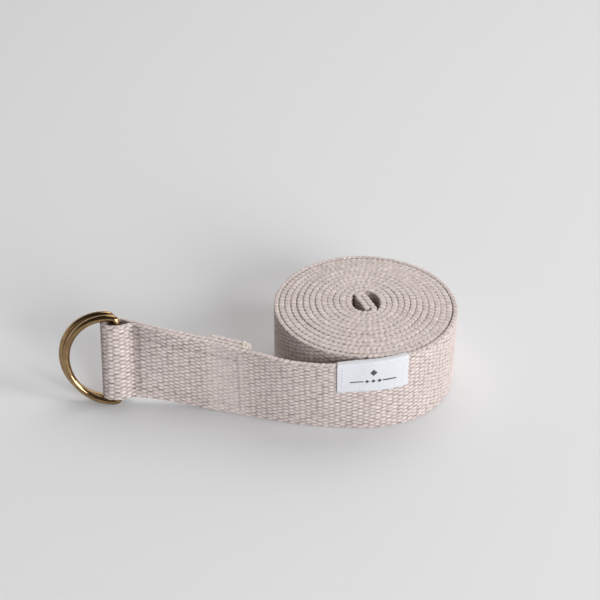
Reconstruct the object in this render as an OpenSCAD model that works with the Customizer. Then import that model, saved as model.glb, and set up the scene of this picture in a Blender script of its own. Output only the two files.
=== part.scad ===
// Stretching strap: one length of woven cotton webbing, rolled up and standing on its edge,
// with two brass D-rings sewn into a loop at its outer end and a small folded label.
// The origin is the roll's axis on the table. +X points away from the rings, -Y is the
// side that the label faces, and +Z is up.

/* [Webbing] */
// Width of the webbing
webbing_w = 38; // [30:0.5:40]
// Thickness of one layer
webbing_t = 2.4; // [1.8:0.05:2.4]
// Width of the webbing where the rings squeeze it
loop_w = 36.4; // [29:0.1:36.4]

/* [Roll] */
// Outer radius where the strap leaves the roll
roll_r = 43.5; // [42:0.5:50]
// Distance from one turn to the next
turn_pitch = 2.65; // [2.65:0.01:2.75]
// Number of turns
turns = 13; // [12:1:13]
// How far the core is stretched into an oval
core_oval = 0.14; // [0:0.02:0.14]

/* [Lead] */
// Length of the gentle curve that leaves the roll, up to the bend
exit_len = 43; // [36:1:50]
// Angle of that curve
exit_turn = 15.5; // [8:0.5:18]
// Distance from the roll to the seam of the ring loop
lead_len = 106.5; // [95:0.5:130]
// Angle by which the last part turns back
end_turn = 13; // [0:0.5:16]
// Height of the lower edge at the ring loop
end_lift = 4.3; // [0:0.1:6]
// Lean of the webbing at the ring loop
end_lean = 12.5; // [0:0.5:18]
// Length of webbing folded back behind the lead
foldback_len = 52; // [35:1:60]
// Length of the hem at the folded-back end
end_hem_len = 17; // [8:1:25]

/* [Rings] */
// Wire thickness
wire_d = 3.2; // [2.5:0.1:3.4]
// Inner width of each ring, along its straight bar
ring_inner_w = 37.8; // [37.8:0.1:39]
// Length of the straight leg between corner and bow
leg_len = 0.8; // [0.2:0.1:6]
// Length of the sewn loop that holds the bars
loop_len = 15; // [15:0.5:20]

/* [Label] */
// Length of the label along the strap
label_len = 31; // [20:1:45]
// Height of the label's front
label_h = 17; // [10:1:30]

/* [Tail] */
// Length of the hem at the inner end of the strap
tail_hem_len = 11; // [8:0.5:11]

/* [Hidden] */

cotton = [0.80, 0.74, 0.71];
brass = [0.72, 0.56, 0.30];
satin = [0.93, 0.93, 0.94];
thread = [0.86, 0.82, 0.76];

half_t = webbing_t / 2;
layer_gap = 0.1;              // air between two layers that are sewn together
layer_step = webbing_t + layer_gap;
clearance = 0.3;              // air around a part that moves
steps_per_turn = 36;
smooth_n = 64;

lift_start = 65;              // where the lower edge starts to rise
lean_start = 82;              // where the webbing starts to lean
turn_start = 60;              // where the last part starts to turn back
turn_len = 38;
squeeze_start = 85;           // where the webbing starts to narrow

wire_r = wire_d / 2;
corner_r = 2.4;               // bend radius of the wire's centre line at the bar's ends
ring_half = ring_inner_w / 2 + wire_r;
ring_split = wire_d + 0.35;   // distance between the planes of the two rings
front_bar_x = 7;              // distance of each bar from the seam of the loop
back_bar_x = 9.5;
back_ring_rise = 0.25;        // the back ring sits this much higher in the loop
nose_len = 4.4;               // rounded front of the loop

label_t = 0.5;
label_start = -18;            // the label starts on the roll and ends on the exit
stitch_t = 0.4;
stitch_w = 0.8;
stitch_len = 2.6;
stitch_air = 0.1;             // keeps a stitch clear of the cloth below it

// A smooth step from 0 at a to 1 at b.
function ease(a, b, s) = let (t = min(max((s - a) / (b - a), 0), 1)) t * t * (3 - 2 * t);

// The end of an arc that starts at p with heading h and turns by the angle given.
function chord(turn) = abs(turn) < 0.01 ? 1 : sin(turn / 2) / (turn / 2 * PI / 180);
function arc_end(p, h, len, turn) =
    p + len * chord(turn) * [cos(h + turn / 2), sin(h + turn / 2)];

// The roll: the centre line after k turns, counted inwards from where the strap leaves it.
function wind_r(k) = roll_r - half_t - turn_pitch * k;
function oval(k) = core_oval * pow(k / turns, 3);
function wind_pt(k) =
    let (a = 360 * k - 90)
    wind_r(k) * [cos(a) * (1 - oval(k)), sin(a) * (1 + oval(k))];
function wind_dir(k) =
    let (d = wind_pt(k - 0.005) - wind_pt(k + 0.005))
    d / norm(d);
function wind_side(k, off) = let (d = wind_dir(k)) wind_pt(k) + off * [-d.y, d.x];

// The centre line of the outer layer, s millimetres from the roll: [x, y, heading].
// A negative s lies on the outermost turn.
exit_p = arc_end([0, -wind_r(0)], 180, exit_len, -exit_turn);
exit_h = 180 - exit_turn;
turn_p = arc_end(exit_p, exit_h, turn_start - exit_len, 0);
end_p = arc_end(turn_p, exit_h, turn_len, end_turn);
end_h = exit_h + end_turn;
function on_turn(s) = let (k = -s / (2 * PI * wind_r(0))) [each wind_pt(k), 180 + 360 * k];
function along(p, h, len, turn) = [each arc_end(p, h, len, turn), h + turn];
function path(s) =
    s < 0 ? on_turn(s)
    : s < exit_len ? along([0, -wind_r(0)], 180, s, -exit_turn * s / exit_len)
    : s < turn_start ? along(exit_p, exit_h, s - exit_len, 0)
    : s < turn_start + turn_len
        ? along(turn_p, exit_h, s - turn_start, end_turn * (s - turn_start) / turn_len)
    : along(end_p, end_h, s - turn_start - turn_len, 0);

function lift(s) = end_lift * ease(lift_start, lead_len, s);
function lean(s) = end_lean * pow(max(0, (s - lean_start) / (lead_len - lean_start)), 2);
function width(s) = webbing_w - (webbing_w - loop_w) * ease(squeeze_start, lead_len, s);

// A point of the lead's cross-section: off outwards from the centre line, z up the width.
function lead_pt(s, off, z) =
    let (
        p = path(s),
        out = off * cos(lean(s)) - z * sin(lean(s)),
        up = off * sin(lean(s)) + z * cos(lean(s))
    )
    [p[0] - out * sin(p[2]), p[1] + out * cos(p[2]), lift(s) + up];

// Puts its children on the strap at s, with X along it, Y out of its label side and Z up.
module on_strap(s) {
    p = path(s);
    translate([p[0], p[1], lift(s)]) rotate([lean(s), 0, p[2]]) children();
}

// A flat outline along the strap from s0 to s1, between two offsets.
function side_pt(s, off) = let (p = path(s)) [p[0] - off * sin(p[2]), p[1] + off * cos(p[2])];
module strip_outline(s0, s1, off0, off1, n) {
    ds = (s1 - s0) / n;
    polygon(concat(
        [for (i = [0:n]) side_pt(s0 + i * ds, off0)],
        [for (i = [n:-1:0]) side_pt(s0 + i * ds, off1)]
    ));
}

// A twisting strip of the webbing's cross-section. Each station is a length along the strap,
// the inner and outer offset, and the lower and upper edge.
module swept_strip(stations) {
    n = len(stations);
    points = [
        for (st = stations)
            let (s = st[0], inner = st[1], outer = st[2], low = st[3], high = st[4])
            each [
                lead_pt(s, outer, low),
                lead_pt(s, outer, high),
                lead_pt(s, inner, high),
                lead_pt(s, inner, low)
            ]
    ];
    sides = [
        for (i = [0:n - 2], c = [0:3])
            let (a = 4 * i + c, b = 4 * i + (c + 1) % 4)
            each [[a, b, b + 4], [a, b + 4, a + 4]]
    ];
    last = 4 * (n - 1);
    ends = [[0, 2, 1], [0, 3, 2], [last, last + 1, last + 2], [last, last + 2, last + 3]];
    polyhedron(points = points, faces = concat(sides, ends));
}

// One layer of webbing from s0 to s1 around the offset given, in n steps.
function layer(s0, s1, off, n) = [
    for (i = [0:n])
        let (s = s0 + (s1 - s0) * i / n)
        [s, off - half_t, off + half_t, 0, width(s)]
];

module webbing_roll() {
    n = turns * steps_per_turn;
    color(cotton) linear_extrude(webbing_w) polygon(concat(
        [for (i = [0:n]) wind_side(i / steps_per_turn, half_t)],
        [for (i = [n:-1:0]) wind_side(i / steps_per_turn, -half_t)]
    ));
}

// The inner end of the strap: a tight bend into a hem that lies across the core.
tail_bend_r = 3;
tail_run = 0.7;
tail_turn = 108;
tail_p = wind_pt(turns);
tail_d = -wind_dir(turns);
tail_h = atan2(tail_d.y, tail_d.x);
bend_p = arc_end(tail_p, tail_h, tail_run, 0);
bend_len = tail_bend_r * tail_turn * PI / 180;
hem_p = arc_end(bend_p, tail_h, bend_len, tail_turn);
function bend_side(t, off) =
    let (h = tail_h + tail_turn * t, p = arc_end(bend_p, tail_h, bend_len * t, tail_turn * t))
    p + off * [-sin(h), cos(h)];

module on_hem() {
    translate(hem_p) rotate(tail_h + tail_turn) children();
}

module tail_hem() {
    n = 16;
    start = [for (off = [-half_t, half_t]) tail_p + off * [-sin(tail_h), cos(tail_h)]];
    color(cotton) linear_extrude(webbing_w) {
        polygon(concat(
            [start[0]],
            [for (i = [0:n]) bend_side(i / n, -half_t)],
            [for (i = [n:-1:0]) bend_side(i / n, half_t)],
            [start[1]]
        ));
        on_hem() {
            translate([0, -half_t]) square([tail_hem_len, webbing_t]);
            translate([0, half_t]) square([tail_hem_len, webbing_t]);
            translate([tail_hem_len, half_t]) circle(r = webbing_t, $fn = smooth_n);
        }
    }
}

module tail_stitching() {
    color(thread) for (z = [4:5:webbing_w - 4])
        on_hem() translate([1.6, -half_t - stitch_t - stitch_air, z])
            cube([stitch_w, stitch_t, stitch_len]);
}

// The first part of the lead belongs to the roll and ends in a hollow around the bend.
module webbing_exit() {
    color(cotton) difference() {
        linear_extrude(webbing_w) strip_outline(0, exit_len, -half_t, half_t, 12);
        translate([exit_p.x, exit_p.y, -1])
            cylinder(h = webbing_w + 2, r = half_t + clearance, $fn = smooth_n);
    }
}

// The lead turns about its own rounded end.
module webbing_lead() {
    nose = [
        for (a = [80, 65, 50, 35, 20])
            [exit_len - half_t * sin(a), -half_t * cos(a), half_t * cos(a), 0, webbing_w]
    ];
    color(cotton) swept_strip(concat(nose, layer(exit_len, lead_len, 0, 22)));
}

foldback_start = lead_len - foldback_len;
module webbing_foldback() {
    color(cotton) swept_strip(layer(foldback_start, lead_len, -layer_step, 18));
}

module foldback_hem() {
    finish = foldback_start + end_hem_len;
    color(cotton) swept_strip(layer(foldback_start, finish, -2 * layer_step, 6));
}

// The loop's centre line: it leaves the seam, swells around both bars and turns back.
mid = -layer_step / 2;
loop_half = ring_split / 2 + wire_r + clearance + half_t;
nose_x = loop_len - half_t - nose_len;
function swell(x) = layer_step / 2 + (loop_half - layer_step / 2) * ease(0, front_bar_x, x);
function loop_line(i, n) =
    i <= n ? let (x = nose_x * i / n) [x, mid + swell(x)]
    : i <= 2 * n ? let (a = 180 * (i - n) / n) [nose_x + nose_len * sin(a), mid + loop_half * cos(a)]
    : let (x = nose_x * (3 * n - i) / n) [x, mid - swell(x)];
function loop_side(i, n, off) =
    let (
        p = loop_line(i, n),
        d = i == 0 ? [1, 0] : i == 3 * n ? [-1, 0] : loop_line(i + 1, n) - loop_line(i - 1, n)
    )
    p + off * [-d.y, d.x] / norm(d);

// Half the loop's width at x, where the curve of the rings narrows it.
bow_x = front_bar_x + corner_r + leg_len;
function loop_half_w(x) = min(
    loop_w / 2,
    sqrt(pow(ring_half, 2) - pow(max(0, x - bow_x), 2)) - wire_r - clearance
);

module webbing_loop() {
    n = 12;
    xs = [for (i = [0:n]) (loop_len + 1) * i / n];
    color(cotton) on_strap(lead_len) intersection() {
        linear_extrude(loop_w) polygon(concat(
            [for (i = [0:3 * n]) loop_side(i, n, half_t)],
            [for (i = [3 * n:-1:0]) loop_side(i, n, -half_t)]
        ));
        rotate([90, 0, 0]) linear_extrude(loop_w, center = true) polygon(concat(
            [for (x = xs) [x, loop_w / 2 + loop_half_w(x)]],
            [for (i = [n:-1:0]) [xs[i], loop_w / 2 - loop_half_w(xs[i])]]
        ));
    }
}

// One D-ring in its own plane: the bar stands on Z and the bow points along X.
module d_ring() {
    bar_half = ring_half - corner_r;
    translate([0, 0, -bar_half]) cylinder(h = 2 * bar_half, r = wire_r, $fn = smooth_n);
    for (side = [-1, 1]) {
        translate([corner_r, 0, side * bar_half])
            rotate([90, 0, 0]) rotate([0, 0, side > 0 ? 90 : 180])
                rotate_extrude(angle = 90, $fn = smooth_n)
                    translate([corner_r, 0]) circle(r = wire_r, $fn = smooth_n);
        translate([corner_r, 0, side * ring_half])
            rotate([0, 90, 0]) cylinder(h = leg_len, r = wire_r, $fn = smooth_n);
    }
    translate([corner_r + leg_len, 0, 0])
        rotate([90, 0, 0]) rotate([0, 0, -90])
            rotate_extrude(angle = 180, $fn = smooth_n)
                translate([ring_half, 0]) circle(r = wire_r, $fn = smooth_n);
}

module ring_front() {
    color(brass) on_strap(lead_len)
        translate([front_bar_x, mid + ring_split / 2, loop_w / 2]) d_ring();
}

module ring_back() {
    color(brass) on_strap(lead_len)
        translate([back_bar_x, mid - ring_split / 2, loop_w / 2 + back_ring_rise]) d_ring();
}

// The label lies on the outermost turn and folds over the webbing's upper edge.
label_off = half_t + stitch_air;
module label() {
    n = 12;
    color(satin) {
        translate([0, 0, webbing_w - label_h]) linear_extrude(label_h + stitch_air + label_t)
            strip_outline(label_start, label_start + label_len, label_off, label_off + label_t, n);
        translate([0, 0, webbing_w + stitch_air]) linear_extrude(label_t)
            strip_outline(label_start, label_start + label_len, -half_t, label_off + label_t, n);
    }
}

module label_stitching() {
    inset = 2;
    top = webbing_w - inset;
    low = webbing_w - label_h + inset;
    surface = label_off + label_t + stitch_air;
    color(thread) {
        for (s = [label_start + inset, label_start + label_len - inset], z = [low:3.2:top - stitch_len])
            on_strap(s) translate([-stitch_w / 2, surface, z]) cube([stitch_w, stitch_t, stitch_len]);
    }
}

// A stitch on the twisting part of the strap, of the length and height given.
module lead_stitch(s, off, z, len, height) {
    swept_strip([for (t = [s, s + len]) [t, off, off + stitch_t, z, z + height]]);
}

// A rectangle of stitches through the layers, seen on both sides.
module box_stitching() {
    inset = 5;
    spacing = 4.1;
    start = foldback_start + end_hem_len + 2;
    finish = lead_len - 2;
    front = half_t + stitch_air;
    back = -layer_step - half_t - stitch_air - stitch_t;
    color(thread) for (off = [front, back]) {
        for (s = [start:spacing:finish - 3], z = [inset, loop_w - inset])
            lead_stitch(s, off, z, stitch_len, stitch_w);
        for (z = [inset + 2:spacing:loop_w - inset - 2])
            lead_stitch(finish, off, z, stitch_w, stitch_len);
    }
    color(thread) for (z = [inset:spacing:webbing_w - inset])
        lead_stitch(foldback_start + 3, front, z, stitch_w, stitch_len);
}

webbing_roll();
tail_hem();
webbing_exit();
webbing_lead();
webbing_loop();
webbing_foldback();
foldback_hem();
ring_front();
ring_back();
label();
label_stitching();
box_stitching();
tail_stitching();
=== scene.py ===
"""The looks of the stretching strap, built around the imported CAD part."""

import math

import bpy
import numpy as np
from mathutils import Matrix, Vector


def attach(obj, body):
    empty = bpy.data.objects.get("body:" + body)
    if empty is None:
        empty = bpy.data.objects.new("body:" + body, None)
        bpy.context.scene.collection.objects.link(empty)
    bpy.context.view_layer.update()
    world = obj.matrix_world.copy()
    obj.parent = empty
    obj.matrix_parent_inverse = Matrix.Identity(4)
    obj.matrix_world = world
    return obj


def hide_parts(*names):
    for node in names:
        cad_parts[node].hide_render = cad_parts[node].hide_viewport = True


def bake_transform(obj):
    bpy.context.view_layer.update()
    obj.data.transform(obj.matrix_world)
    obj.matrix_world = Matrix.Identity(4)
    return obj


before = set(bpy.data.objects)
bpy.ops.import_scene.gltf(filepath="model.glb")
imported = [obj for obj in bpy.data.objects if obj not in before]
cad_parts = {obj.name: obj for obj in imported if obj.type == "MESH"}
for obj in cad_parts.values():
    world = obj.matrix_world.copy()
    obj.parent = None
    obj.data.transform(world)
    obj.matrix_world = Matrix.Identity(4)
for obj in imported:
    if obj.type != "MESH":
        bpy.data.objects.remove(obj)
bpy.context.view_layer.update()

# Lengths below are in millimetres, as in part.scad, and meshes are made in metres.
MM = 0.001

# The strap's own measures, the same as part.scad's.
WIDTH = 38.0
HALF_T = 1.2
LOOP_W = 36.4
ROLL_R = 43.5
TURN_PITCH = 2.65
TURNS = 13
CORE_OVAL = 0.14
EXIT_LEN = 43.0
EXIT_TURN = 15.5
LEAD_LEN = 106.5
END_TURN = 13.0
TURN_START = 60.0
TURN_LEN = 38.0
END_LIFT = 4.3
LIFT_START = 65.0
END_LEAN = 12.5
LEAN_START = 82.0
SQUEEZE_START = 85.0
FOLDBACK_LEN = 52.0
FOLDBACK_END = LEAD_LEN - FOLDBACK_LEN
END_HEM_LEN = 17.0
LAYER_STEP = 2.5
LOOP_LEN = 15.0
LOOP_HALF = 4.875
NOSE_LEN = 4.4
FRONT_BAR_X = 7.0
BOW_X = 10.2
RING_HALF = 20.5
WIRE_R = 1.6
CLEARANCE = 0.3
LABEL_START = -18.0
LABEL_LEN = 31.0
LABEL_H = 17.0
TAIL_RUN = 1.7
TAIL_BEND_R = 3.0
TAIL_TURN = 108.0
TAIL_HEM_LEN = 11.5

# The weave: columns of bumps across the strap, each column half a bump out of step.
COLUMN = 2.55
ROWS = 19.0
EDGE = 0.5
BUMP_REACH_C = 0.70
BUMP_REACH_R = 0.54
EDGE_SQUARE = 0.6
WEAVE_DEPTH = 0.68
EDGE_DEPTH = 0.70

# The distance between mesh sections along the webbing, and where only its edges show.
STEP = 0.43
EDGE_STEP = 0.46
# The step of the lead's centre line.
LEAD_STEP = 0.05

# How far the lead's upper edge leans outwards near the roll, in degrees, and its extra at the exit,
# and where along the strap each of the two begins, is full, fades and ends.
LEAD_TILT = 4.0
EXIT_TILT = 3.5
LEAD_TILT_SPAN = (-22, 15, 50, 72)
EXIT_TILT_SPAN = (2, 20, 32, 50)
# How much higher the roll's middle stands than its outermost turn.
DOME = 1.7
# The outermost turn stands off from the next at the right by twice this, over a part of both turns.
STAND_OFF = 0.08
STAND_OFF_OUTER = (0.06, 0.13, 0.22, 0.36)
STAND_OFF_INNER = (1.05, 1.13, 1.22, 1.36)

NO_TRIS = np.zeros((0, 3), int)

rng = np.random.default_rng(7)
# Random numbers for the bumps, by column and row, used over and over.
RANDOM_COLUMNS = 211
RANDOM_ROWS = 64
BUMP_RANDOM = rng.random((RANDOM_COLUMNS, RANDOM_ROWS, 4))


def ease(a, b, s):
    """A smooth step from 0 at a to 1 at b."""
    t = np.clip((np.asarray(s, float) - a) / (b - a), 0, 1)
    return t * t * (3 - 2 * t)


def hump(a, b, c, d, s):
    """Rises from 0 at a to 1 at b, stays there until c and is back at 0 at d."""
    return ease(a, b, s) * (1 - ease(c, d, s))


# ---------------------------------------------------------------- centre lines

def wind_pt(k):
    """The roll's centre line after k turns, counted inwards from where the strap leaves it."""
    k = np.asarray(k, float)
    r = ROLL_R - HALF_T - TURN_PITCH * k
    oval = CORE_OVAL * (k / TURNS) ** 3
    a = np.radians(360 * k - 90)
    return np.stack([r * np.cos(a) * (1 - oval), r * np.sin(a) * (1 + oval)], -1)


def wind_heading(k):
    """Heading of the strap there, travelling outwards, in radians."""
    d = wind_pt(np.asarray(k) - 0.002) - wind_pt(np.asarray(k) + 0.002)
    return np.arctan2(d[..., 1], d[..., 0])


K_TABLE = np.linspace(0, TURNS, TURNS * 720 + 1)
S_TABLE = np.concatenate(
    [[0], np.cumsum(np.linalg.norm(np.diff(wind_pt(K_TABLE), axis=0), axis=1))]
)

LEAD_S = np.arange(0, LEAD_LEN + 0.06, LEAD_STEP)
LEAD_HEAD = np.radians(
    180
    - EXIT_TURN * np.clip(LEAD_S / EXIT_LEN, 0, 1)
    + END_TURN * np.clip((LEAD_S - TURN_START) / TURN_LEN, 0, 1)
)
MID_HEAD = (LEAD_HEAD[1:] + LEAD_HEAD[:-1]) / 2
LEAD_MOVES = LEAD_STEP * np.stack([np.cos(MID_HEAD), np.sin(MID_HEAD)], 1)
LEAD_XY = np.array([0, -(ROLL_R - HALF_T)]) + np.concatenate(
    [np.zeros((1, 2)), np.cumsum(LEAD_MOVES, axis=0)]
)


def turn_of(s):
    """Turn number, counted inwards, of the point s along the strap, negative on the roll."""
    return np.interp(-np.asarray(s, float), S_TABLE, K_TABLE)


def path(s):
    """Centre line at s: x, y and heading in radians."""
    s = np.asarray(s, float)
    k = turn_of(s)
    on_roll = s < 0
    xy = np.where(
        on_roll[:, None],
        wind_pt(k),
        np.stack([np.interp(s, LEAD_S, LEAD_XY[:, i]) for i in (0, 1)], 1),
    )
    head = np.where(on_roll, wind_heading(k), np.interp(s, LEAD_S, LEAD_HEAD))
    return xy, head


def strap_frame(s):
    """The strap's section at s: bottom centre, outward and upward vectors, width."""
    xy, head = path(s)
    k = turn_of(s)
    angle = np.radians(360 * k - 90)
    out2 = np.stack([-np.sin(head), np.cos(head)], 1)
    inner = ease(0.6, 2.0, k)
    # turns lie a little unevenly
    shift = inner * (0.10 * np.sin(2 * angle + 0.8 * k) + 0.06 * np.sin(5 * angle - 0.9 * k + 1))
    shift = shift + STAND_OFF * (hump(*STAND_OFF_OUTER, k) - hump(*STAND_OFF_INNER, k))
    xy = xy + out2 * shift[:, None]
    rise = DOME * ease(0.9, 8.0, k)
    rise = rise + inner * (0.08 * np.sin(angle + 2.1 * k) + 0.05 * np.sin(3 * angle + 4.7 * k))
    lift = END_LIFT * ease(LIFT_START, LEAD_LEN, s) + rise
    lean = END_LEAN * np.clip((s - LEAN_START) / (LEAD_LEN - LEAN_START), 0, 1) ** 2
    tilt = LEAD_TILT * hump(*LEAD_TILT_SPAN, s) + EXIT_TILT * hump(*EXIT_TILT_SPAN, s)
    lean = np.radians(lean - tilt)
    width = WIDTH - (WIDTH - LOOP_W) * ease(SQUEEZE_START, LEAD_LEN, s)
    origin = np.concatenate([xy, lift[:, None]], 1)
    out = np.concatenate([out2 * np.cos(lean)[:, None], np.sin(lean)[:, None]], 1)
    up = np.concatenate([-out2 * np.sin(lean)[:, None], np.cos(lean)[:, None]], 1)
    return origin, out, up, width


# ---------------------------------------------------------------- weave relief

def bumps(column, row, reach_c, reach_r, seed):
    """Height from 0 to 1, and a tone, of lens-shaped bumps, alternate columns half a row out."""
    height = np.zeros(np.broadcast(column, row).shape)
    tone = np.full(height.shape, 0.5)
    for parity in (0, 1):
        c = 2 * np.round((column - parity) / 2) + parity
        for extra in (-1, 0):
            r = np.floor(row - 0.5 * parity) + extra + 1
            ci = (c.astype(int) * 7 + seed) % RANDOM_COLUMNS
            ri = r.astype(int) % RANDOM_ROWS
            rand = BUMP_RANDOM[ci, ri]
            dc = (column - c - 0.16 * (rand[..., 1] - 0.5)) / reach_c
            dr = (row - 0.5 * parity - r - 0.16 * (rand[..., 2] - 0.5)) / reach_r + 0.10 * dc
            lens = np.clip(1 - np.abs(dc) ** 2.8 - dr * dr, 0, 1) ** 0.85
            h = lens * (0.92 + 0.1 * rand[..., 0])
            tone = np.where(h > height, 0.55 + 0.35 * rand[..., 3], tone)
            height = np.maximum(height, h)
    return np.clip(height, 0, 1), tone


def edge_bumps(column, across, seed):
    """Height and tone of the single row of skewed bumps over an edge, with pits between them."""
    skewed = column + 0.35 * (across - 0.5)
    c = np.round(skewed)
    ci = c.astype(int)
    rand = BUMP_RANDOM[(ci * 5 + seed) % RANDOM_COLUMNS, (ci * 3) % RANDOM_ROWS]
    gap = np.clip(np.abs(2 * (skewed - c + 0.06 * (rand[..., 1] - 0.5))), 0, 1) ** 3
    groove = np.clip((np.abs(2 * across - 1) - 0.2) / 0.4, 0, 1) ** 2
    # the yarns over the edge, finer than the bumps
    yarn = np.floor(column * 3).astype(int) % RANDOM_COLUMNS
    strand = np.floor(across * 2.6).astype(int) + 7 * seed
    fine = BUMP_RANDOM[yarn, strand]
    h = (1 - 0.08 * groove - 0.22 * gap - 0.70 * groove * gap) * (0.92 + 0.1 * rand[..., 0])
    return np.clip(h - 0.12 * fine[..., 1], 0, 1), 0.35 + 0.6 * fine[..., 0]


def section(front, top, back, bottom):
    """The points round the webbing's section: the side of each and how far along that side it is.

    Side 0 is the front, 1 the top edge, 2 the back and 3 the bottom edge.
    """
    side, at = [], []
    for i, values in enumerate((front, top, back, bottom)):
        side += [i] * len(values)
        at += list(values)
    return np.array(side), np.array(at, float)


def spread(n):
    """n even places between 0 and 1, without the ends."""
    return (np.arange(n) + 0.5) / n


def webbing(name, s, stations, sect, half_t=HALF_T, flatten=None, press=None):
    """A length of webbing swept through its stations, with its weave as real relief.

    flatten(s) scales the relief's depth, and press(s, z, side) is how deep the cloth is pulled in.
    """
    origin, out, up, width = stations
    side, at = sect
    n, m = len(s), len(side)
    column = (s / COLUMN)[:, None] + np.zeros((1, m))
    w = width[:, None]
    off, z, n_off, n_z = (np.zeros((n, m)) for _ in range(4))
    height, tone = np.zeros((n, m)), np.zeros((n, m))
    depth = np.zeros((n, m))

    for face, sign in ((0, 1), (2, -1)):
        j = side == face
        along = at[j] if face == 0 else 1 - at[j]
        off[:, j] = sign * half_t
        z[:, j] = EDGE + along * (w - 2 * EDGE)
        n_off[:, j] = sign
        rows = along[None, :] * ROWS + 0.25
        height[:, j], tone[:, j] = bumps(
            column[:, j] + (face // 2), rows, BUMP_REACH_C, BUMP_REACH_R, face
        )
        depth[:, j] = WEAVE_DEPTH

    for edge, sign in ((1, 1), (3, -1)):
        j = side == edge
        phi = math.pi * at[j] if edge == 1 else math.pi * (1 + at[j])
        c, sn = np.cos(phi)[None, :], np.sin(phi)[None, :]
        off[:, j] = half_t * np.sign(c) * np.abs(c) ** EDGE_SQUARE
        z[:, j] = (w - EDGE if edge == 1 else EDGE) + EDGE * np.sign(sn) * np.abs(sn) ** EDGE_SQUARE
        n_off[:, j], n_z[:, j] = c * 0.8, sn
        across = ((phi / math.pi) % 1.0)[None, :]
        height[:, j], tone[:, j] = edge_bumps(
            column[:, j] + 0.5, across + 0 * column[:, j], edge
        )
        depth[:, j] = EDGE_DEPTH

    if flatten is not None:
        depth = depth * flatten(s)[:, None]
    off = off - depth * (1 - height) * n_off
    z = z - depth * (1 - height) * n_z
    # the relief also sets the colour: where it is low, in the valleys and pits, the material paints
    # shade
    relief = 1 - (1 - height) * (depth / WEAVE_DEPTH)
    if press is not None:
        dent = press(s[:, None] + 0 * z, z, side[None, :] + 0 * z.astype(int))
        off = off - dent * n_off
        # the dents lower the relief too, so the material paints shade into the stitch holes and
        # creases
        relief = relief - 1.1 * dent
    points = origin[:, None, :] + off[..., None] * out[:, None, :] + z[..., None] * up[:, None, :]
    return tube_mesh(name, points, {"relief": relief, "tone": tone})


def wall_quads(n, m):
    """The faces between n rings of m points each."""
    i, j = np.meshgrid(np.arange(n - 1), np.arange(m), indexing="ij")
    j2 = (j + 1) % m
    return np.stack([i * m + j, i * m + j2, (i + 1) * m + j2, (i + 1) * m + j], -1).reshape(-1, 4)


def tube_mesh(name, points, attributes):
    """A closed mesh from rings of points, with a fan over each end."""
    n, m = points.shape[:2]
    verts = np.concatenate([points.reshape(-1, 3), points[:1].mean(1), points[-1:].mean(1)]) * MM
    ring = np.arange(m)
    ring2 = (ring + 1) % m
    first = np.stack([np.full(m, n * m), ring2, ring], 1)
    last = np.stack([np.full(m, n * m + 1), (n - 1) * m + ring, (n - 1) * m + ring2], 1)
    obj = quad_mesh(name, verts, wall_quads(n, m), np.concatenate([first, last]))
    for key, value in attributes.items():
        flat = np.concatenate([value.reshape(-1), [0.5, 0.5]]).astype(np.float32)
        obj.data.attributes.new(key, "FLOAT", "POINT").data.foreach_set("value", flat)
    return obj


def closed_strip(name, points):
    """A closed flat strip from rings of points whose first half lies over their second half."""
    n, m = points.shape[:2]
    c = np.arange(m // 2 - 1)
    first = np.stack([c, m - 1 - c, m - 2 - c, c + 1], 1)
    last = np.stack([c, c + 1, m - 2 - c, m - 1 - c], 1) + (n - 1) * m
    quads = np.concatenate([wall_quads(n, m), first, last])
    return quad_mesh(name, points.reshape(-1, 3) * MM, quads, NO_TRIS)


def quad_mesh(name, verts, quads, tris):
    """A smooth-shaded object from arrays of corners."""
    mesh = bpy.data.meshes.new(name)
    mesh.vertices.add(len(verts))
    mesh.vertices.foreach_set("co", np.asarray(verts, np.float32).ravel())
    loops = np.concatenate([quads.ravel(), tris.ravel()])
    mesh.loops.add(len(loops))
    mesh.loops.foreach_set("vertex_index", loops.astype(np.int32))
    totals = np.concatenate([np.full(len(quads), 4), np.full(len(tris), 3)])
    starts = np.concatenate([[0], np.cumsum(totals)[:-1]])
    mesh.polygons.add(len(totals))
    mesh.polygons.foreach_set("loop_start", starts.astype(np.int32))
    mesh.polygons.foreach_set("loop_total", totals.astype(np.int32))
    mesh.polygons.foreach_set("use_smooth", np.ones(len(totals), bool))
    mesh.update(calc_edges=True)
    mesh.validate()
    obj = bpy.data.objects.new(name, mesh)
    bpy.context.scene.collection.objects.link(obj)
    return obj


# ---------------------------------------------------------------- materials

def new_material(name):
    """A material, its node tree and its shader."""
    mat = bpy.data.materials.new(name)
    mat.use_nodes = True
    tree = mat.node_tree
    shader = tree.nodes["Principled BSDF"]
    return mat, tree, shader


def add(tree, kind, **values):
    """Adds a node and sets its properties or, by name, its inputs."""
    node = tree.nodes.new(kind)
    for key, value in values.items():
        if hasattr(node, key):
            setattr(node, key, value)
        else:
            node.inputs[key.replace("_", " ")].default_value = value
    return node


def ramp(tree, source, stops):
    """A colour ramp over source, from (place, colour) stops."""
    node = tree.nodes.new("ShaderNodeValToRGB")
    while len(node.color_ramp.elements) < len(stops):
        node.color_ramp.elements.new(0.5)
    for element, (place, colour) in zip(node.color_ramp.elements, stops):
        element.position = place
        element.color = (*colour, 1)
    tree.links.new(source, node.inputs[0])
    return node.outputs[0]


def mix(tree, kind, factor, a, b):
    """Two colours mixed. Each input is a number, a colour or a socket."""
    node = tree.nodes.new("ShaderNodeMix")
    node.data_type = "RGBA"
    node.blend_type = kind
    for socket, value in ((node.inputs[0], factor), (node.inputs[6], a), (node.inputs[7], b)):
        if isinstance(value, (int, float)):
            socket.default_value = value
        elif isinstance(value, tuple):
            socket.default_value = (*value, 1)
        else:
            tree.links.new(value, socket)
    return node.outputs[2]


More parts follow.
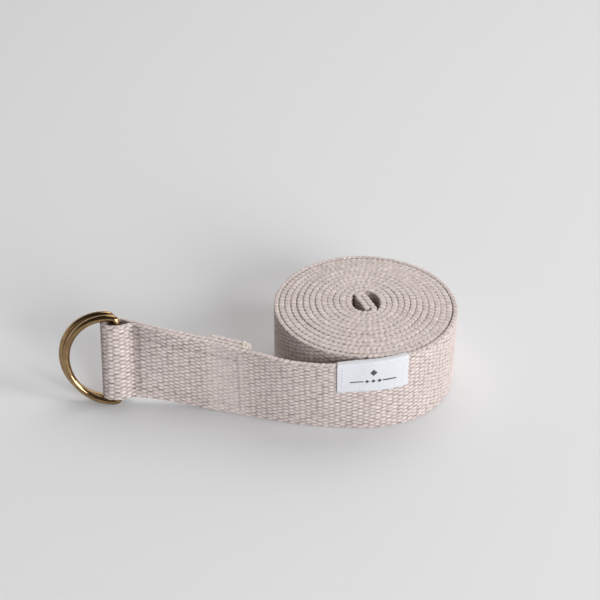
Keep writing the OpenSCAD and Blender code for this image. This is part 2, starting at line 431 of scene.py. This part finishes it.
def cotton_material():
    """Undyed cotton webbing with fine fibres: painted shade darkens it in the weave's valleys, its
    edges' pits and the stitch dents, and it is lighter on the bumps.
    """
    mat, tree, shader = new_material("cotton_webbing")
    relief = add(tree, "ShaderNodeAttribute", attribute_name="relief").outputs["Fac"]
    tone = add(tree, "ShaderNodeAttribute", attribute_name="tone").outputs["Fac"]
    place = tree.nodes.new("ShaderNodeTexCoord").outputs["Object"]
    # painted shade: the ramp darkens the cloth where the relief is low, in the weave's valleys, the
    # edges' pits and the stitch dents
    yarn = ramp(tree, relief, [
        (0.0, (0.145, 0.106, 0.095)),
        (0.45, (0.425, 0.354, 0.335)),
        (1.0, (0.765, 0.67, 0.645)),
    ])
    by_bump = ramp(tree, tone, [
        (0.0, (0.77, 0.755, 0.74)),
        (1.0, (1.07, 1.07, 1.065)),
    ])
    yarn = mix(tree, "MULTIPLY", 1.0, yarn, by_bump)
    patches = add(tree, "ShaderNodeTexNoise", Scale=70.0, Detail=3.0)
    tree.links.new(place, patches.inputs["Vector"])
    drift = ramp(tree, patches.outputs["Fac"], [
        (0.3, (0.95, 0.945, 0.925)),
        (0.7, (1.0, 1.0, 1.0)),
    ])
    yarn = mix(tree, "MULTIPLY", 1.0, yarn, drift)
    flecks = add(tree, "ShaderNodeTexNoise", Scale=1000.0, Detail=2.0)
    tree.links.new(place, flecks.inputs["Vector"])
    light = ramp(tree, flecks.outputs["Fac"], [
        (0.38, (0.92, 0.915, 0.91)),
        (0.62, (1.05, 1.05, 1.05)),
    ])
    yarn = mix(tree, "MULTIPLY", 1.0, yarn, light)
    fibres = add(tree, "ShaderNodeTexNoise", Scale=2600.0, Detail=4.0, Roughness=0.65)
    tree.links.new(place, fibres.inputs["Vector"])
    speck = ramp(tree, fibres.outputs["Fac"], [
        (0.32, (0.80, 0.79, 0.78)),
        (0.62, (1.03, 1.03, 1.03)),
    ])
    yarn = mix(tree, "MULTIPLY", 1.0, yarn, speck)
    tree.links.new(yarn, shader.inputs["Base Color"])
    bump = add(tree, "ShaderNodeBump", Strength=0.55, Distance=0.00012)
    tree.links.new(fibres.outputs["Fac"], bump.inputs["Height"])
    tree.links.new(bump.outputs[0], shader.inputs["Normal"])
    shader.inputs["Roughness"].default_value = 0.93
    shader.inputs["Specular IOR Level"].default_value = 0.2
    shader.inputs["Sheen Weight"].default_value = 0.35
    shader.inputs["Sheen Roughness"].default_value = 0.45
    shader.inputs["Sheen Tint"].default_value = (0.95, 0.88, 0.84, 1)
    return mat


def brass_material():
    """Polished brass with a slightly uneven plating."""
    mat, tree, shader = new_material("ring_brass")
    place = tree.nodes.new("ShaderNodeTexCoord").outputs["Object"]
    cloud = add(tree, "ShaderNodeTexNoise", Scale=160.0, Detail=5.0, Roughness=0.6)
    tree.links.new(place, cloud.inputs["Vector"])
    colour = ramp(tree, cloud.outputs["Fac"], [
        (0.3, (0.25, 0.155, 0.075)),
        (0.7, (0.42, 0.28, 0.14)),
    ])
    tree.links.new(colour, shader.inputs["Base Color"])
    fine = add(tree, "ShaderNodeTexNoise", Scale=1500.0, Detail=3.0)
    tree.links.new(place, fine.inputs["Vector"])
    rough = add(tree, "ShaderNodeMapRange")
    rough.inputs["To Min"].default_value = 0.10
    rough.inputs["To Max"].default_value = 0.22
    tree.links.new(cloud.outputs["Fac"], rough.inputs["Value"])
    tree.links.new(rough.outputs[0], shader.inputs["Roughness"])
    bump = add(tree, "ShaderNodeBump", Strength=0.06, Distance=0.00008)
    tree.links.new(fine.outputs["Fac"], bump.inputs["Height"])
    tree.links.new(bump.outputs[0], shader.inputs["Normal"])
    shader.inputs["Metallic"].default_value = 1.0
    return mat


COTTON = cotton_material()
BRASS = brass_material()


def dress(obj, material):
    """Gives a piece its material, as its only one."""
    obj.data.materials.clear()
    obj.data.materials.append(material)
    return obj


# ---------------------------------------------------------------- the roll

def fine_section(back=True):
    """A section with the weave's detail in front, and behind too or with few points there."""
    many = spread(92)
    few = np.array([0.02, 0.5, 0.86, 0.93, 0.98])
    return section(many, spread(9), 1 - (many if back else few)[::-1], spread(9))


def steps(a, b, step=STEP):
    """Even places from a to b, about step apart."""
    return np.linspace(a, b, int(abs(b - a) / step) + 1)


def s_of_turn(k):
    """Where along the strap turn k begins, counted inwards."""
    return -float(np.interp(k, K_TABLE, S_TABLE))


# Where the lead's mesh begins, a little way round the roll.
CUT = -15.0
# Half the thickness of the folded core, and of turns that press on each other.
CORE_T = 1.55
TOUCHING_T = 1.56

s = steps(s_of_turn(1.0), CUT)
outer_turn = webbing("webbing_outer_turn", s, strap_frame(s), fine_section(back=False))
few = np.array([0.03, 0.5, 0.9, 0.97])
edge_section = section(few, spread(11), 1 - few[::-1], spread(5))
inner_pieces = []
for i, (k0, k1) in enumerate(((5.0, 1.0), (12.0, 5.0))):
    s = steps(s_of_turn(k0), s_of_turn(k1), EDGE_STEP)
    inner_pieces.append(
        webbing(f"webbing_inner_turns_{i + 1}", s, strap_frame(s), edge_section, half_t=TOUCHING_T)
    )

# The innermost turn, the tight bend and the hem across the core, travelling inwards.
CORE_FOLD_R = 1.4
s_turn = steps(s_of_turn(TURNS), s_of_turn(12.0))
tail_xy, tail_head = path(s_turn[:1] + 1e-6)
bend_len = TAIL_BEND_R * math.radians(TAIL_TURN)
fold_len = math.pi * CORE_FOLD_R
t = np.arange(0, TAIL_RUN + bend_len + 2 * TAIL_HEM_LEN + fold_len, STEP)[1:]
turned = TAIL_TURN * np.clip((t - TAIL_RUN) / bend_len, 0, 1) + 180 * np.clip(
    (t - TAIL_RUN - bend_len - TAIL_HEM_LEN) / fold_len, 0, 1
)
head_in = tail_head[0] + math.pi + np.radians(turned)
xy_in = tail_xy[0] + np.cumsum(STEP * np.stack([np.cos(head_in), np.sin(head_in)], 1), axis=0)
origin, out, up, width = strap_frame(s_turn)
core_z = origin[0, 2]
tail_origin = np.concatenate([xy_in, np.full((len(t), 1), core_z)], 1)[::-1]
out_heading = (head_in - math.pi)[::-1]
tail_out = np.stack([-np.sin(out_heading), np.cos(out_heading), 0 * out_heading], 1)
core = webbing(
    "webbing_core",
    np.concatenate([s_turn[0] - t[::-1], s_turn]),
    (
        np.concatenate([tail_origin, origin]),
        np.concatenate([tail_out, out]),
        np.concatenate([np.tile([0, 0, 1.0], (len(t), 1)), up]),
        np.concatenate([np.full(len(t), WIDTH), width]),
    ),
    fine_section(),
    half_t=CORE_T,
)
for piece in (outer_turn, *inner_pieces, core):
    dress(piece, COTTON)
    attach(piece, "roll")
    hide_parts("webbing_roll")
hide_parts("tail_hem")

# ---------------------------------------------------------------- the lead and its loop

# The box of stitches that holds the layers together.
BOX_INSET = 5.0
BOX_END = LEAD_LEN - 2.2
BOX_START = FOLDBACK_END + 3.2
STITCH = 2.7
STITCH_GAP = 0.9
STITCH_SINK = 0.3


def stitch_starts(a, b):
    """Where the stitches of a row from a to b begin."""
    return np.arange(a, b - STITCH, STITCH + STITCH_GAP)


BOX_ALONG = stitch_starts(BOX_START + 1.5, BOX_END - 0.5)
BOX_ACROSS = stitch_starts(BOX_INSET, LOOP_W - BOX_INSET + 1)


def hem_flatness(s):
    """The weave is pressed flat in front of the hem."""
    return 1 - 0.4 * hump(53.0, 56.0, 68.0, 76.0, s)


def bell(distance, reach):
    """1 at no distance, falling smoothly to about a third at reach."""
    return np.exp(-(distance / reach) ** 2)


def seam_dents(s, z, side):
    """How deep the box of stitches pulls the cloth in, with a crease across it at both ends."""
    crease = 0.24 * bell(s - BOX_END, 0.8) + 0.16 * bell(s - BOX_START, 0.8)
    crease = crease * hump(1.0, 4.0, 34.0, 37.0, z)
    # a hole at each stitch's end and a shallow furrow between them, deeper along the upper row
    near = (s - BOX_ALONG[0] + STITCH_GAP / 2) / (STITCH + STITCH_GAP)
    along = (near - np.round(near)) * (STITCH + STITCH_GAP)
    inside = (s > BOX_START) & (s < BOX_END)
    holes = np.zeros(s.shape)
    for row_z, pull in ((BOX_INSET, 0.4), (LOOP_W - BOX_INSET, 1.0)):
        holes = holes + pull * 0.34 * inside * bell(along, 0.55) * bell(z - row_z, 0.6)
        holes = holes + pull * 0.10 * inside * bell(z - row_z, 0.8)
    return np.where((side == 0) | (side == 2), crease + holes, 0)


s = steps(CUT, LEAD_LEN)
lead = webbing(
    "webbing_lead", s, strap_frame(s), fine_section(), flatten=hem_flatness, press=seam_dents
)
dress(lead, COTTON)
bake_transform(lead)
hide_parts("webbing_exit", "webbing_lead")


# The layer folded back ends this much below the front layer's upper edge.
BACK_LOWER = 0.3
# Half the thickness of the loop and of the layers behind the lead.
LOOP_T = 1.18


def along_of(s_here):
    """The strap's direction of travel at s_here."""
    head = float(path(np.array([s_here]))[1][0])
    return np.array([math.cos(head), math.sin(head), 0])


def swell(x):
    """Half the loop's outline: how far its centre line is from the loop's middle, x into it."""
    return LAYER_STEP / 2 + (LOOP_HALF - LAYER_STEP / 2) * ease(0, FRONT_BAR_X, x)


def loop_frames():
    """The loop round the bars, the layer folded back behind the lead and its hem, as one line."""
    mid = -LAYER_STEP / 2
    nose_x = LOOP_LEN - HALF_T - NOSE_LEN
    x = np.linspace(0, nose_x, 60)
    a = np.linspace(0, math.pi, 60)[1:-1]
    line = np.concatenate([
        np.stack([x, mid + swell(x)], 1),
        np.stack([nose_x + NOSE_LEN * np.sin(a), mid + LOOP_HALF * np.cos(a)], 1),
        np.stack([x[::-1], mid - swell(x[::-1])], 1),
    ])
    length = np.concatenate([[0], np.cumsum(np.linalg.norm(np.diff(line, axis=0), axis=1))])
    at = steps(0, length[-1])
    local = np.stack([np.interp(at, length, line[:, i]) for i in (0, 1)], 1)
    d = np.gradient(local, axis=0)
    d = d / np.linalg.norm(d, axis=1)[:, None]
    origin, out, up, _ = strap_frame(np.array([LEAD_LEN]))
    along = np.array([math.cos(LEAD_HEAD[-1]), math.sin(LEAD_HEAD[-1]), 0])
    loop_origin = origin[0] + local[:, :1] * along + local[:, 1:] * out[0]
    loop_out = -d[:, 1:] * along + d[:, :1] * out[0]
    loop_up = np.tile(up[0], (len(at), 1))
    # the loop narrows towards its nose, to fit between the rings' round ends
    bow = np.sqrt(RING_HALF**2 - np.clip(local[:, 0] - BOW_X, 0, None) ** 2) - WIRE_R - CLEARANCE
    loop_half_w = np.minimum(LOOP_W / 2, bow)
    loop_origin = loop_origin + (LOOP_W / 2 - loop_half_w)[:, None] * loop_up

    start = FOLDBACK_END
    s_back = steps(LEAD_LEN, start)[1:]
    back_mid, back_out, back_up, back_w = strap_frame(s_back)
    lower = BACK_LOWER * ease(LEAD_LEN, LEAD_LEN - 6, s_back)

    # behind that layer, the end is folded over once more as a flat hem
    fold = np.linspace(0, math.pi, 14)[1:-1]
    cos, sin = np.cos(fold)[:, None], np.sin(fold)[:, None]
    end_mid, end_out, end_up, end_w = (v[0] for v in strap_frame(np.array([start])))
    end_along = along_of(start)
    r = LAYER_STEP / 2
    fold_origin = end_mid - (LAYER_STEP + r) * end_out + r * (-sin * end_along + cos * end_out)
    fold_out = -(cos * end_out - sin * end_along)
    hem_mid, hem_out, hem_up, hem_w = strap_frame(steps(start, start + END_HEM_LEN))

    origins = np.concatenate([
        loop_origin,
        back_mid - LAYER_STEP * back_out,
        fold_origin,
        hem_mid - 2 * LAYER_STEP * hem_out,
    ])
    outs = np.concatenate([loop_out, -back_out, fold_out, hem_out])
    ups = np.concatenate([loop_up, back_up, np.tile(end_up, (len(fold), 1)), hem_up])
    widths = np.concatenate([
        2 * loop_half_w,
        back_w - lower,
        np.full(len(fold), end_w - BACK_LOWER),
        hem_w - BACK_LOWER,
    ])
    gaps = np.concatenate([[0], np.linalg.norm(np.diff(origins, axis=0), axis=1)])
    return LEAD_LEN + np.cumsum(gaps), (origins, outs, ups, widths)


s, stations = loop_frames()
loop = webbing("webbing_loop", s, stations, fine_section(), half_t=LOOP_T)
dress(loop, COTTON)
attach(loop, "lead")
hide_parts("webbing_loop", "webbing_foldback", "foldback_hem")

for node in ("ring_front", "ring_back"):
    dress(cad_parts[node], BRASS)

# ---------------------------------------------------------------- threads, label and fuzz

def strap_pt(s, off, z):
    """Points on the strap: along it, outwards from its centre line and up its width."""
    s, off, z = np.broadcast_arrays(*(np.asarray(v, float) for v in (s, off, z)))
    origin, out, up, _ = strap_frame(s.ravel())
    place = origin + off.ravel()[:, None] * out + z.ravel()[:, None] * up
    return place.reshape(*s.shape, 3)


def threads(name, lines, radius, ref, sides=6, taper=0.55):
    """Round threads along lines (count, points, 3), all in one mesh.

    ref is a direction roughly square to each line, and taper the thickness left at its ends.
    """
    lines = np.asarray(lines, float)
    count, n = lines.shape[:2]
    tangent = np.gradient(lines, axis=1)
    tangent /= np.linalg.norm(tangent, axis=2)[..., None]
    ref = np.broadcast_to(np.asarray(ref, float).reshape(-1, 1, 3), lines.shape)
    across = ref - (ref * tangent).sum(2)[..., None] * tangent
    across /= np.linalg.norm(across, axis=2)[..., None]
    third = np.cross(tangent, across)
    along = np.linspace(0, 1, n)
    thick = radius * (1 - (1 - taper) * np.abs(2 * along - 1) ** 4)
    a = 2 * math.pi * np.arange(sides) / sides
    ring = (
        lines[:, :, None, :]
        + thick[None, :, None, None] * (
            np.cos(a)[None, None, :, None] * across[:, :, None, :]
            + np.sin(a)[None, None, :, None] * third[:, :, None, :]
        )
    )
    verts = ring.reshape(-1, 3) * MM
    base = (np.arange(count) * n * sides)[:, None, None]
    quads = (wall_quads(n, sides)[None] + base).reshape(-1, 4)
    k = np.arange(1, sides - 1)
    first = np.stack([0 * k, k + 1, k], 1)
    last = np.stack([0 * k, k, k + 1], 1) + (n - 1) * sides
    tris = (np.concatenate([first, last])[None] + base).reshape(-1, 3)
    return quad_mesh(name, verts, quads, tris)


def stitch_lines(s0, z0, s1, z1, off, sink):
    """Stitches from (s0, z0) to (s1, z1) on the strap, whose ends dip into the cloth."""
    s0, z0, s1, z1 = (np.atleast_1d(v).astype(float)[:, None] for v in (s0, z0, s1, z1))
    t = np.linspace(0, 1, 9)[None, :]
    rise = 1 - np.abs(2 * t - 1) ** 3
    sign = math.copysign(1, off)
    return strap_pt(s0 + (s1 - s0) * t, off + sign * sink * (rise - 1), z0 + (z1 - z0) * t)


def row_along(start, z, off, length=STITCH, sink=STITCH_SINK):
    """Stitches along the strap that begin at start."""
    z = np.full(len(start), float(z))
    return stitch_lines(start, z, start + length, z, off, sink)


def row_across(s, start, off, length=STITCH, sink=STITCH_SINK):
    """Stitches across the strap that begin at height start."""
    s = np.full(len(start), float(s))
    return stitch_lines(s, start, s, start + length, off, sink)


def thread_material(name, colour, shade):
    """A twisted thread: fine bands of painted shade in the twist's grooves across its length, and a
    soft sheen.
    """
    mat, tree, shader = new_material(name)
    place = tree.nodes.new("ShaderNodeTexCoord").outputs["Object"]
    twist = add(tree, "ShaderNodeTexWave", Scale=900.0, Distortion=2.0, Detail=2.0)
    twist.bands_direction = "DIAGONAL"
    tree.links.new(place, twist.inputs["Vector"])
    # painted shade: the twist's low bands, its grooves, take the darker shade colour
    tint = ramp(tree, twist.outputs["Fac"], [(0.2, shade), (0.8, colour)])
    tree.links.new(tint, shader.inputs["Base Color"])
    bump = add(tree, "ShaderNodeBump", Strength=0.5, Distance=0.00006)
    tree.links.new(twist.outputs["Fac"], bump.inputs["Height"])
    tree.links.new(bump.outputs[0], shader.inputs["Normal"])
    shader.inputs["Roughness"].default_value = 0.75
    shader.inputs["Sheen Weight"].default_value = 0.3
    return mat


def satin_material():
    """White woven satin: fine floats along the label and a soft gloss."""
    mat, tree, shader = new_material("label_satin")
    place = tree.nodes.new("ShaderNodeTexCoord").outputs["Object"]
    stretch = add(tree, "ShaderNodeMapping")
    stretch.inputs["Scale"].default_value = (1.0, 1.0, 5.0)
    tree.links.new(place, stretch.inputs["Vector"])
    floats = add(tree, "ShaderNodeTexNoise", Scale=1400.0, Detail=3.0, Roughness=0.6)
    tree.links.new(stretch.outputs[0], floats.inputs["Vector"])
    colour = ramp(tree, floats.outputs["Fac"], [
        (0.3, (0.54, 0.543, 0.56)),
        (0.65, (0.62, 0.624, 0.64)),
    ])
    tree.links.new(colour, shader.inputs["Base Color"])
    bump = add(tree, "ShaderNodeBump", Strength=0.4, Distance=0.00005)
    tree.links.new(floats.outputs["Fac"], bump.inputs["Height"])
    tree.links.new(bump.outputs[0], shader.inputs["Normal"])
    shader.inputs["Roughness"].default_value = 0.5
    shader.inputs["Sheen Weight"].default_value = 0.15
    return mat


def ink_material():
    """Dark woven motif threads."""
    mat, tree, shader = new_material("label_motif")
    place = tree.nodes.new("ShaderNodeTexCoord").outputs["Object"]
    grain = add(tree, "ShaderNodeTexNoise", Scale=2200.0, Detail=3.0)
    tree.links.new(place, grain.inputs["Vector"])
    colour = ramp(tree, grain.outputs["Fac"], [
        (0.3, (0.035, 0.036, 0.042)),
        (0.7, (0.09, 0.09, 0.10)),
    ])
    tree.links.new(colour, shader.inputs["Base Color"])
    shader.inputs["Roughness"].default_value = 0.7
    return mat


COTTON_THREAD = thread_material("thread_cotton", (0.56, 0.48, 0.455), (0.40, 0.33, 0.31))
CREAM_THREAD = thread_material("thread_cream", (0.80, 0.735, 0.64), (0.64, 0.57, 0.48))
WHITE_THREAD = thread_material("thread_white", (0.80, 0.80, 0.81), (0.66, 0.66, 0.68))
SATIN = satin_material()
INK = ink_material()

# How far from the lead's centre line the stitches lie, in front and behind both layers.
FRONT = HALF_T - 0.46
BACK = -LAYER_STEP - HALF_T - 0.06


def out_at(s):
    """The outward direction at each s."""
    return strap_frame(np.asarray(s, float))[1]


box_rows = []
for off in (FRONT, BACK):
    for z in (BOX_INSET, LOOP_W - BOX_INSET):
        box_rows.append(row_along(BOX_ALONG, z, off))
    for s_here in (BOX_END, BOX_START):
        box_rows.append(row_across(s_here, BOX_ACROSS, off))
box_rows = np.concatenate(box_rows)
BOX_THREAD_R = 0.21
box_threads = threads(
    "box_stitches", box_rows, BOX_THREAD_R, out_at(np.full(len(box_rows), 90.0))
)
dress(box_threads, COTTON_THREAD)
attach(box_threads, "lead")
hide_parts("box_stitching")

# An irregular cream overlock over the upper and lower edge of the hem behind the lead.
OVERLOCK_GAP = 0.3
OVERLOCK_R = 0.2
OVERLOCK_HALF = 3.0
OVERLOCK_OFF = -1.6 * LAYER_STEP
hem_s = np.arange(FOLDBACK_END - 0.6, FOLDBACK_END + END_HEM_LEN, OVERLOCK_GAP)
a = np.linspace(-0.35 * math.pi, 1.3 * math.pi, 13)
loops = []
for edge, edge_z in ((1, WIDTH - 2.7), (-1, 2.6)):
    # it reaches further over the edge near the fold
    bulge = 0.9 * np.exp(-((hem_s - hem_s[0] - 1.5) / 1.6) ** 2)[:, None]
    reach = 1.5 + bulge + 0.55 * rng.random((len(hem_s), 1))
    wander = 0.25 * rng.normal(size=(len(hem_s), 1))
    off = OVERLOCK_OFF + wander + OVERLOCK_HALF * np.cos(a)[None, :]
    slant = (2.0 * rng.random((len(hem_s), 1)) - 0.8) * (a / math.pi)[None, :]
    loops.append(strap_pt(hem_s[:, None] + slant, off, edge_z + edge * reach * np.sin(a)[None, :]))
loops = np.concatenate(loops)
overlock = threads("end_overlock", loops, OVERLOCK_R, np.tile(along_of(64.0), (len(loops), 1)))
dress(overlock, CREAM_THREAD)
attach(overlock, "lead")

# The label: a thin band folded over the strap's upper edge.
LABEL_T = 0.32
LABEL_AIR = 0.05
LABEL_FLAP = 4.0
# Its lower edge, a little higher than the CAD's.
LABEL_LOW = WIDTH - LABEL_H + 1.2
LABEL_S = np.linspace(LABEL_START, LABEL_START + LABEL_LEN, 86)


def label_side(extra):
    """Offset and height of the label's side that lies extra outwards, from front to back."""
    n_front, n_top, n_back = 34, 12, 8
    t = HALF_T + LABEL_AIR + extra
    top = WIDTH - EDGE
    a = np.linspace(0, math.pi, n_top + 2)[1:-1]
    off = np.concatenate([np.full(n_front, t), t * np.cos(a), np.full(n_back, -t)])
    z = np.concatenate([
        np.linspace(LABEL_LOW, top, n_front),
        top + (EDGE + LABEL_AIR + extra) * np.sin(a) ** 0.8,
        np.linspace(top, top - LABEL_FLAP, n_back),
    ])
    return off, z


def band(name, s, outer, inner):
    """A thin band swept along the strap from its outer and inner side, each (offset, height)."""
    off = np.concatenate([outer[0], inner[0][::-1]])
    z = np.concatenate([outer[1], inner[1][::-1]])
    # its front lies a little wavy between its ends
    between = np.clip((s - s[0]) / (s[-1] - s[0]), 0, 1)
    lift = 0.10 * np.sin(0.31 * s + 0.5) * np.sin(math.pi * between)
    front = np.where(off > 0, 1, 0)
    points = strap_pt(s[:, None], off[None, :] + front[None, :] * lift[:, None], z[None, :])
    return closed_strip(name, points)


label = band("label", LABEL_S, label_side(LABEL_T), label_side(0.0))
dress(label, SATIN)
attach(label, "roll")
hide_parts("label")

label_mid = LABEL_START + LABEL_LEN / 2
label_z = LABEL_LOW + 0.5 * (WIDTH - LABEL_LOW)
FACE = HALF_T + LABEL_AIR + LABEL_T + 0.06
MARK_PROUD = 0.05
MARK_DEPTH = 0.1
motif = []


def motif_mark(s_mid, z_mid, half_s, half_z, diamond):
    """A thin mark woven on the label: a diamond or a plain bar."""
    s = np.linspace(s_mid - half_s, s_mid + half_s, 13)
    grow = 1 - np.abs(s - s_mid) / half_s if diamond else np.ones(len(s))
    z = z_mid + half_z * np.clip(grow, 0.02, 1)[:, None] * np.linspace(-1, 1, 5)[None, :]
    top = strap_pt(s[:, None], FACE + MARK_PROUD, z)
    low = strap_pt(s[:, None], FACE - MARK_DEPTH, z)
    points = np.concatenate([top, low[:, ::-1]], axis=1)
    obj = closed_strip(f"label_mark_{len(motif) + 1}", points)
    dress(obj, INK)
    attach(obj, "roll")
    motif.append(obj)


motif_mark(label_mid, label_z + 2.4, half_s=1.5, half_z=1.7, diamond=True)
for k in (-1, 0, 1):
    motif_mark(label_mid + 2.6 * k, label_z - 2.2, half_s=0.9, half_z=0.9, diamond=True)
for side in (-1, 1):
    motif_mark(label_mid + 7.0 * side, label_z - 2.2, half_s=2.9, half_z=0.28, diamond=False)

# Three rows of small stitches, along the label's ends and its lower edge.
LABEL_STITCH = 1.5
LABEL_GAP = 0.6
LABEL_SINK = 0.12
LABEL_THREAD_R = 0.13
LABEL_INSET = 2.4
label_up = np.arange(LABEL_LOW + 2.0, WIDTH - 2.0, LABEL_STITCH + LABEL_GAP)
label_on = np.arange(LABEL_START + 2.8, LABEL_START + LABEL_LEN - 4.0, LABEL_STITCH + LABEL_GAP)
label_rows = np.concatenate([
    row_across(LABEL_START + LABEL_INSET, label_up, FACE, LABEL_STITCH, LABEL_SINK),
    row_across(LABEL_START + LABEL_LEN - LABEL_INSET, label_up, FACE, LABEL_STITCH, LABEL_SINK),
    row_along(label_on, LABEL_LOW + 2.0, FACE, LABEL_STITCH, LABEL_SINK),
])
label_threads = threads(
    "label_stitches", label_rows, LABEL_THREAD_R, out_at(np.full(len(label_rows), 0.0))
)
dress(label_threads, WHITE_THREAD)
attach(label_threads, "roll")
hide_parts("label_stitching")

# One row of stitches through the hem in the core, 2 mm past its bend.
TAIL_THREAD_R = 0.3
stitch_at = int((TAIL_RUN + bend_len + 2.0) / STEP)
hem_dir = np.array([math.cos(head_in[stitch_at]), math.sin(head_in[stitch_at]), 0])
hem_side = np.array([hem_dir[1], -hem_dir[0], 0])
hem_foot = np.array([*xy_in[stitch_at], core_z])
tail_z = np.arange(3.5, WIDTH - 4, STITCH + STITCH_GAP)[:, None]
t = np.linspace(0, 1, 9)[None, :]
tail_off = (HALF_T + 0.02 - 0.28 * np.abs(2 * t - 1) ** 3 + 0 * tail_z)[..., None]
tail_up = (tail_z + STITCH * t)[..., None] * np.array([0, 0, 1.0])
tail_lines = hem_foot + tail_off * hem_side + tail_up
tail_threads = threads(
    "tail_stitches", tail_lines, TAIL_THREAD_R, np.tile(hem_side, (len(tail_z), 1))
)
dress(tail_threads, COTTON_THREAD)
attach(tail_threads, "roll")
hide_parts("tail_stitching")

# Stray fibres on the cloth.
FIBRE_LEN = 1.1
FIBRE_R = 0.03


def fuzz(name, s, off, z, spread_up, spread_out):
    """Short stray fibres that stand off the cloth at the places given."""
    count = len(s)
    origin, out, up, _ = strap_frame(s)
    along = np.cross(out, up)
    root = origin + off[:, None] * out + z[:, None] * up
    way = (
        spread_out[:, None] * out + spread_up[:, None] * up
        + rng.uniform(-1.2, 1.2, count)[:, None] * along
    )
    way /= np.linalg.norm(way, axis=1)[:, None]
    curl = rng.normal(size=(count, 3)) * 0.35
    t = np.linspace(0, 1, 5)[None, :, None]
    reach = (FIBRE_LEN * rng.uniform(0.4, 1.0, count))[:, None, None]
    bent = way[:, None, :] * t + curl[:, None, :] * t * t
    lines = root[:, None, :] - 0.15 * way[:, None, :] + reach * bent
    return threads(name, lines, FIBRE_R, rng.normal(size=(count, 3)), sides=3, taper=0.3)


def fuzz_on(name, s_from, s_to, per_mm, top_share):
    """Fibres on the upper edge and both faces of a length of the strap."""
    count = int((s_to - s_from) * per_mm)
    s = rng.uniform(s_from, s_to, count)
    top = rng.random(count) < top_share
    a = rng.uniform(0, math.pi, count)
    side = np.where(rng.random(count) < 0.6, 1.0, -1.0)
    off = np.where(top, HALF_T * np.cos(a) * 0.9, side * (HALF_T - 0.1))
    width = strap_frame(s)[3]
    z = np.where(top, width - 0.4, rng.uniform(1, WIDTH - 1, count))
    up = np.where(top, rng.uniform(0.3, 1.2, count), rng.uniform(-0.5, 0.8, count))
    outward = np.where(top, rng.uniform(-0.8, 0.8, count), side)
    return fuzz(name, s, off, z, up, outward)


# The fibres on the roll's outside begin a little before its outermost turn.
FUZZ_START = -265.0
roll_fuzz = fuzz_on("webbing_fuzz_roll", FUZZ_START, CUT, per_mm=8.0, top_share=0.6)
turns_fuzz = fuzz_on(
    "webbing_fuzz_turns", s_of_turn(12.5), s_of_turn(1.0), per_mm=1.2, top_share=1.0
)
for piece in (roll_fuzz, turns_fuzz):
    dress(piece, COTTON_THREAD)
    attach(piece, "roll")
# None where the rings fold onto the lead.
FUZZ_END = 76.0
lead_fuzz = fuzz_on("webbing_fuzz_lead", CUT, FUZZ_END, per_mm=8.0, top_share=0.5)
dress(lead_fuzz, COTTON_THREAD)
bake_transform(lead_fuzz)

# ---------------------------------------------------------------- floor, light and camera

FLOOR_COLOUR = (0.72, 0.72, 0.725)
FLOOR_HALF = 6.0
FLOOR_Z = -0.00006
WORLD_STRENGTH = 1.12


def floor_piece():
    """A plain pale floor, just below the strap's lower edge."""
    mat, _, shader = new_material("paper_floor")
    shader.inputs["Base Color"].default_value = (*FLOOR_COLOUR, 1)
    shader.inputs["Roughness"].default_value = 0.85
    shader.inputs["Specular IOR Level"].default_value = 0.2
    corners = np.array([
        [side_x * FLOOR_HALF, side_y * FLOOR_HALF, FLOOR_Z]
        for side_x, side_y in ((-1, -1), (1, -1), (1, 1), (-1, 1))
    ])
    obj = quad_mesh("floor", corners, np.array([[0, 1, 2, 3]]), NO_TRIS)
    obj.data.materials.append(mat)


def studio_world():
    """Light paper all round near the horizon and a dark room above and behind the camera."""
    world = bpy.data.worlds.new("studio")
    bpy.context.scene.world = world
    world.use_nodes = True
    tree = world.node_tree
    way = tree.nodes.new("ShaderNodeTexCoord").outputs["Generated"]
    split = tree.nodes.new("ShaderNodeSeparateXYZ")
    tree.links.new(way, split.inputs[0])
    height = add(tree, "ShaderNodeMath", operation="MULTIPLY_ADD")
    tree.links.new(split.outputs["Y"], height.inputs[0])
    height.inputs[1].default_value = -0.35
    tree.links.new(split.outputs["Z"], height.inputs[2])
    colour = ramp(tree, height.outputs[0], [
        (0.14, (0.97, 0.98, 1.0)),
        (0.34, (0.42, 0.43, 0.45)),
        (0.62, (0.05, 0.05, 0.055)),
    ])
    tree.links.new(colour, tree.nodes["Background"].inputs[0])
    tree.nodes["Background"].inputs[1].default_value = WORLD_STRENGTH


def area_light(name, place, size, power, colour=(1, 1, 1)):
    """A round soft light that faces the origin."""
    data = bpy.data.lights.new(name, "AREA")
    data.shape = "DISK"
    data.size = size
    data.energy = power
    data.color = colour
    obj = bpy.data.objects.new(name, data)
    bpy.context.scene.collection.objects.link(obj)
    obj.location = place
    obj.rotation_euler = (-Vector(place)).to_track_quat("-Z", "Y").to_euler()


floor_piece()
studio_world()
area_light("front", (1.4, -2.2, 1.0), size=1.4, power=70, colour=(0.975, 1.0, 1.03))
area_light("side", (1.5, -0.4, 0.9), size=0.6, power=10)
area_light("top", (0.2, 0.75, 1.45), size=1.5, power=12, colour=(1.0, 0.96, 0.92))

camera_data = bpy.data.cameras.new("camera")
camera_data.sensor_width = 36
camera_data.lens = 84
camera = bpy.data.objects.new("camera", camera_data)
bpy.context.scene.collection.objects.link(camera)
camera.location = (-0.0294, -0.5323, 0.3984)
CAMERA_DOWN = 33.93
camera.rotation_euler = (math.radians(90 - CAMERA_DOWN), 0, 0)
bpy.context.scene.camera = camera
bpy.context.scene.view_settings.view_transform = "Standard"
